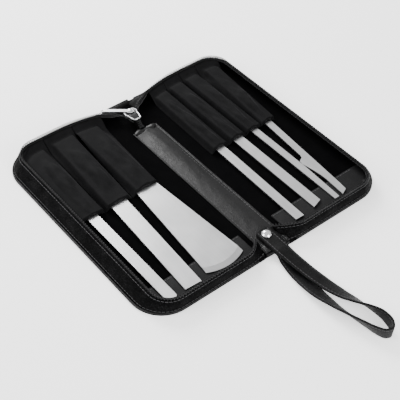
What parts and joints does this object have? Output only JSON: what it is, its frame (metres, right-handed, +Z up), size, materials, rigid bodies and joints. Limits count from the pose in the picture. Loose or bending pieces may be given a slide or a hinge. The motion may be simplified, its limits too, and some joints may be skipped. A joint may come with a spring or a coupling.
{
  "type": "sculpting spatula set in zip case",
  "caption": "Black zip case, open flat like a book, with steel sculpting spatulas and knives standing in sewn fabric sleeves and a wrist strap.",
  "frame": {"origin": "underside of the spine, half way along the case, on the surface that the open case lies on", "axes": "+X across the open case, from the half with the wide tools to the half with the slim tools; +Y along the spine towards the zipper slider; +Z up, out of the open case"},
  "size_m": [0.203, 0.2799, 0.0133],
  "materials": {
    "cover": "semi-gloss grained",
    "strap": "semi-gloss, stitched",
    "lining": "matt, finely woven",
    "fleece": "brushed pile",
    "coil": "satin",
    "board": "plain",
    "handle_plastic": "satin",
    "blade_steel": "ground and lightly polished",
    "nickel": "polished"
  },
  "bodies": {
    "left_half": {"left_cover": "cover", "left_board": "board", "left_lining": "lining", "left_wall": "cover", "left_piping": "cover", "left_zipper_tape": "lining", "left_zipper_coil": "coil", "left_tip_rest": "cover", "narrow_sleeve": "fleece", "medium_sleeve": "fleece", "fan_sleeve": "fleece"},
    "spine": {"spine_skin": "cover", "spine_stiffener": "board", "spine_strip": "cover", "spine_end_tab": "cover", "zipper_tail": "lining", "rivet_post": "nickel", "rivet_cap": "nickel"},
    "right_half": {"right_cover": "cover", "right_board": "board", "right_lining": "lining", "right_wall": "cover", "right_piping": "cover", "right_zipper_tape": "lining", "right_zipper_coil": "coil", "right_tip_rest": "cover", "square_sleeve": "fleece", "skew_sleeve": "fleece", "taper_sleeve": "fleece", "knife_sleeve": "fleece"},
    "slider": {"slider_body": "nickel"},
    "pull": {"pull_tab": "nickel"},
    "strap": {"strap_root": "strap"},
    "loop": {"strap_loop": "strap"},
    "narrow_tool": {"narrow_blade": "blade_steel", "narrow_handle": "handle_plastic"},
    "medium_tool": {"medium_blade": "blade_steel", "medium_handle": "handle_plastic"},
    "fan_tool": {"fan_blade": "blade_steel", "fan_handle": "handle_plastic"},
    "square_tool": {"square_blade": "blade_steel", "square_handle": "handle_plastic"},
    "skew_tool": {"skew_blade": "blade_steel", "skew_handle": "handle_plastic"},
    "taper_tool": {"taper_blade": "blade_steel", "taper_handle": "handle_plastic"},
    "knife_tool": {"knife_blade": "blade_steel", "knife_handle": "handle_plastic"}
  },
  "joints": [
    {"name": "spine_fold", "type": "hinge", "parent": "left_half", "child": "spine", "pos_m": [-0.01, 0, 0.0035], "axis": [0, -1, 0], "range_deg": [0, 90]},
    {"name": "cover_fold", "type": "hinge", "parent": "spine", "child": "right_half", "pos_m": [0.01, 0, 0.0035], "axis": [0, -1, 0], "range_deg": [0, 90]},
    {"name": "slider_slide", "type": "slide", "parent": "spine", "child": "slider", "axis": [0, 1, 0], "range_m": [0, 0.005]},
    {"name": "pull_swing", "type": "hinge", "parent": "slider", "child": "pull", "pos_m": [-0.0015, 0.071, 0.01155], "axis": [0, 0, 1], "range_deg": [-52, 0]},
    {"name": "strap_swivel", "type": "hinge", "parent": "spine", "child": "strap", "pos_m": [-0.0008, -0.081, 0.0044], "axis": [0, 0, 1], "range_deg": [-12, 12]},
    {"name": "strap_lift", "type": "hinge", "parent": "strap", "child": "loop", "pos_m": [-0.0008, -0.0947, 0.0078], "axis": [-1, 0, 0], "range_deg": [0, 80]},
    {"name": "narrow_lift", "type": "hinge", "parent": "left_half", "child": "narrow_tool", "pos_m": [-0.0814, 0.074, 0.0036], "axis": [1, 0, 0], "range_deg": [-6, 0], "deforming": ["narrow_sleeve"]},
    {"name": "medium_lift", "type": "hinge", "parent": "left_half", "child": "medium_tool", "pos_m": [-0.05634, 0.0739, 0.0036], "axis": [0.9986, -0.0523, 0], "range_deg": [-6, 0], "deforming": ["medium_sleeve"]},
    {"name": "fan_lift", "type": "hinge", "parent": "left_half", "child": "fan_tool", "pos_m": [-0.0365, 0.074, 0.0036], "axis": [1, 0, 0], "range_deg": [-6, 0], "deforming": ["fan_sleeve"]},
    {"name": "square_lift", "type": "hinge", "parent": "right_half", "child": "square_tool", "pos_m": [0.03042, 0.07399, 0.0036], "axis": [0.9998, -0.0175, 0], "range_deg": [-6, 0], "deforming": ["square_sleeve"]},
    {"name": "skew_lift", "type": "hinge", "parent": "right_half", "child": "skew_tool", "pos_m": [0.0457, 0.074, 0.0036], "axis": [1, 0, 0], "range_deg": [-6, 0], "deforming": ["skew_sleeve"]},
    {"name": "taper_lift", "type": "hinge", "parent": "right_half", "child": "taper_tool", "pos_m": [0.0612, 0.074, 0.0036], "axis": [1, 0, 0], "range_deg": [-6, 0], "deforming": ["taper_sleeve"]},
    {"name": "knife_lift", "type": "hinge", "parent": "right_half", "child": "knife_tool", "pos_m": [0.07993, 0.07381, 0.0036], "axis": [0.9973, -0.0732, 0], "range_deg": [-6, 0], "deforming": ["knife_sleeve"]}
  ],
  "couplings": [
    {"joint": "pull_swing", "follows": "spine_fold", "ratio": -0.57778}
  ]
}
